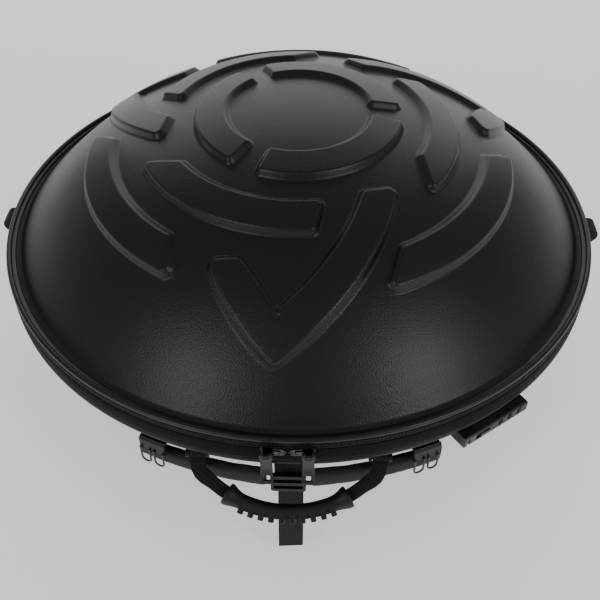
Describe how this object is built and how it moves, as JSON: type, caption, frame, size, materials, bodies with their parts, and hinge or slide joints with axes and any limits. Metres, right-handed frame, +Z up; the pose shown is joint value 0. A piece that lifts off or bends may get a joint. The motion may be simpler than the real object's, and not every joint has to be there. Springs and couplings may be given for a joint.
{
  "type": "handpan hard case",
  "caption": "Round hard-shell carrying case for a handpan: two black domed shells with a pressed relief, closed by a zip band, with handle, D-rings and lock.",
  "frame": {"origin": "on the floor, under the centre of the round case", "axes": "+Z up along the case's axis, -Y towards the carrying handle and the zip pulls"},
  "size_m": [0.6126, 0.638, 0.2751],
  "materials": {
    "shell_abs": "pebble-grained vacuum-formed ABS, semi-gloss",
    "zip_tape": "woven polyester tape",
    "zip_coil": "nylon coil",
    "binding": "grosgrain binding",
    "foam": "closed-cell foam",
    "lining": "brushed knit lining",
    "rubber": "moulded rubber",
    "steel": "nickel-plated steel",
    "plastic": "moulded nylon",
    "lock_metal": "satin dark zinc die casting",
    "slider_metal": "gloss black zinc die casting",
    "padding": "padded polyester with taped edges",
    "webbing": "woven polypropylene webbing"
  },
  "bodies": {
    "base": {"lower_shell": "shell_abs", "lower_zip_tape": "zip_tape", "lower_zip_coil": "zip_coil", "lower_binding": "binding", "lower_foam": "foam", "lower_liner": "lining", "cradle_ring": "foam", "feet": "rubber", "foot_screws": "steel", "rear_hinge_lower": "zip_tape", "left_handle_anchor": "plastic", "right_handle_anchor": "plastic", "handle_backing_plates": "steel", "handle_rivets": "steel", "left_strap_plate": "plastic", "right_strap_plate": "plastic", "left_strap_hooks": "steel", "right_strap_hooks": "steel", "left_shoulder_strap": "padding", "right_shoulder_strap": "padding", "left_strap_webbing": "webbing", "right_strap_webbing": "webbing", "left_strap_buckle": "plastic", "right_strap_buckle": "plastic", "left_rear_anchor": "plastic", "right_rear_anchor": "plastic", "centre_webbing": "webbing", "centre_buckle": "plastic", "centre_tail": "webbing", "left_ring_tab": "webbing", "right_ring_tab": "webbing", "lock_body": "plastic", "lock_end_cap": "lock_metal", "lock_axle": "steel", "lock_back_plate": "steel"},
    "lid": {"upper_shell": "shell_abs", "upper_zip_tape": "zip_tape", "upper_zip_coil": "zip_coil", "upper_binding": "binding", "upper_foam": "foam", "upper_liner": "lining", "rear_hinge_upper": "zip_tape"},
    "left_slider": {"left_zip_slider": "slider_metal"},
    "right_slider": {"right_zip_slider": "slider_metal"},
    "left_pull": {"left_pull_tab": "lock_metal"},
    "right_pull": {"right_pull_tab": "lock_metal"},
    "handle": {"handle_grip": "rubber", "left_handle_leg": "webbing", "right_handle_leg": "webbing"},
    "left_ring": {"left_d_ring": "steel"},
    "right_ring": {"right_d_ring": "steel"},
    "dial_1": {"lock_dial_1": "plastic"},
    "dial_2": {"lock_dial_2": "plastic"},
    "dial_3": {"lock_dial_3": "plastic"},
    "button": {"lock_button": "plastic"}
  },
  "joints": [
    {"name": "lid_open", "type": "hinge", "parent": "base", "child": "lid", "pos_m": [0, 0.3024, 0.1425], "axis": [-1, 0, 0], "range_deg": [0, 170]},
    {"name": "left_slider_travel", "type": "hinge", "parent": "base", "child": "left_slider", "pos_m": [0, 0, 0.1425], "axis": [0, 0, -1], "range_deg": [0, 150]},
    {"name": "right_slider_travel", "type": "hinge", "parent": "base", "child": "right_slider", "pos_m": [0, 0, 0.1425], "axis": [0, 0, 1], "range_deg": [0, 150]},
    {"name": "left_pull_swing", "type": "hinge", "parent": "left_slider", "child": "left_pull", "pos_m": [-0.017, -0.3096, 0.1465], "axis": [-1, 0, 0], "range_deg": [0, 170]},
    {"name": "right_pull_swing", "type": "hinge", "parent": "right_slider", "child": "right_pull", "pos_m": [0.017, -0.3096, 0.1465], "axis": [-1, 0, 0], "range_deg": [0, 170]},
    {"name": "handle_swing", "type": "hinge", "parent": "base", "child": "handle", "pos_m": [0, -0.285, 0.114], "axis": [-1, 0, 0], "range_deg": [0, 45]},
    {"name": "left_ring_swing", "type": "hinge", "parent": "base", "child": "left_ring", "pos_m": [-0.3034, 0, 0.122], "axis": [0, 1, 0], "range_deg": [0, 110]},
    {"name": "right_ring_swing", "type": "hinge", "parent": "base", "child": "right_ring", "pos_m": [0.3034, 0, 0.122], "axis": [0, -1, 0], "range_deg": [0, 110]},
    {"name": "dial_1_turn", "type": "hinge", "parent": "base", "child": "dial_1", "pos_m": [0.18132, -0.24106, 0.1126], "axis": [0.809, 0.5878, 0], "continuous": true},
    {"name": "dial_2_turn", "type": "hinge", "parent": "base", "child": "dial_2", "pos_m": [0.19022, -0.23459, 0.1126], "axis": [0.809, 0.5878, 0], "continuous": true},
    {"name": "dial_3_turn", "type": "hinge", "parent": "base", "child": "dial_3", "pos_m": [0.19912, -0.22813, 0.1126], "axis": [0.809, 0.5878, 0], "continuous": true},
    {"name": "button_slide", "type": "slide", "parent": "base", "child": "button", "axis": [-0.809, -0.5878, 0], "range_m": [0, 0.004], "stiffness_N_per_m": 150}
  ]
}
